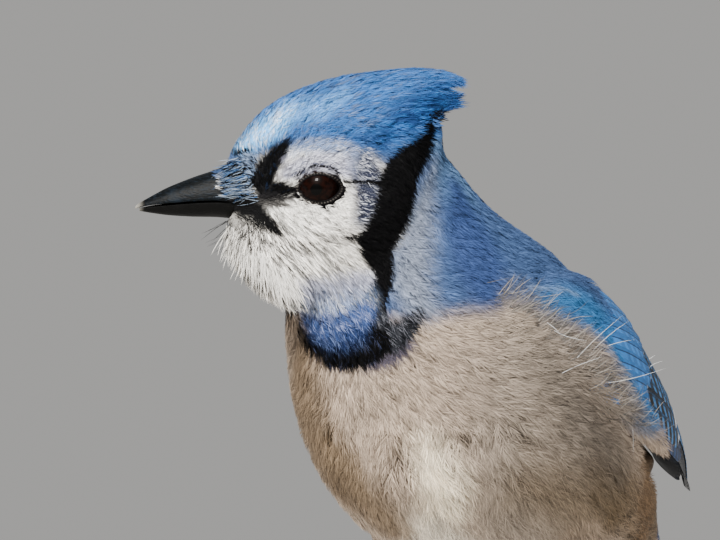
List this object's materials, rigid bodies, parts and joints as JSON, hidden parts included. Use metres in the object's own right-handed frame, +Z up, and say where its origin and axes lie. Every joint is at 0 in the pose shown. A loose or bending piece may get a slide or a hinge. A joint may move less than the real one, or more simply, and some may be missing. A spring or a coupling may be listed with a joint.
{
  "type": "blue jay",
  "caption": "Life-size still model of a puffed-up blue jay standing on the floor, its crested head turned to its right, wings folded, tail closed.",
  "frame": {"origin": "on the floor, under the middle of the bird's bounding box", "axes": "+Z up, -Y the way the breast faces, +Y towards the tail tip, +X the bird's left"},
  "size_m": [0.0946, 0.2402, 0.1533],
  "materials": {
    "head_plumage": "soft plumage, blue crown and crest, white face, black marks",
    "body_plumage": "soft plumage, blue-grey back, black necklace, grey breast, white belly",
    "wing_feathers": "barred blue, black and white feathers with a silky sheen",
    "tail_feathers": "barred blue and black feathers with white tips",
    "bill_horn": "smooth black horn",
    "eye": "wet dark brown",
    "leg_scales": "dull black scales and claws"
  },
  "bodies": {
    "root": {"head": "head_plumage", "crest": "head_plumage", "neck": "body_plumage", "trunk": "body_plumage", "thigh_left": "body_plumage", "thigh_right": "body_plumage", "wing_left": "wing_feathers", "wing_right": "wing_feathers", "flight_feathers_left": "wing_feathers", "flight_feathers_right": "wing_feathers", "tail": "tail_feathers", "bill_upper": "bill_horn", "bill_lower": "bill_horn", "eye_left": "eye", "eye_right": "eye", "shank_left": "leg_scales", "shank_right": "leg_scales", "foot_left": "leg_scales", "foot_right": "leg_scales"}
  },
  "joints": []
}
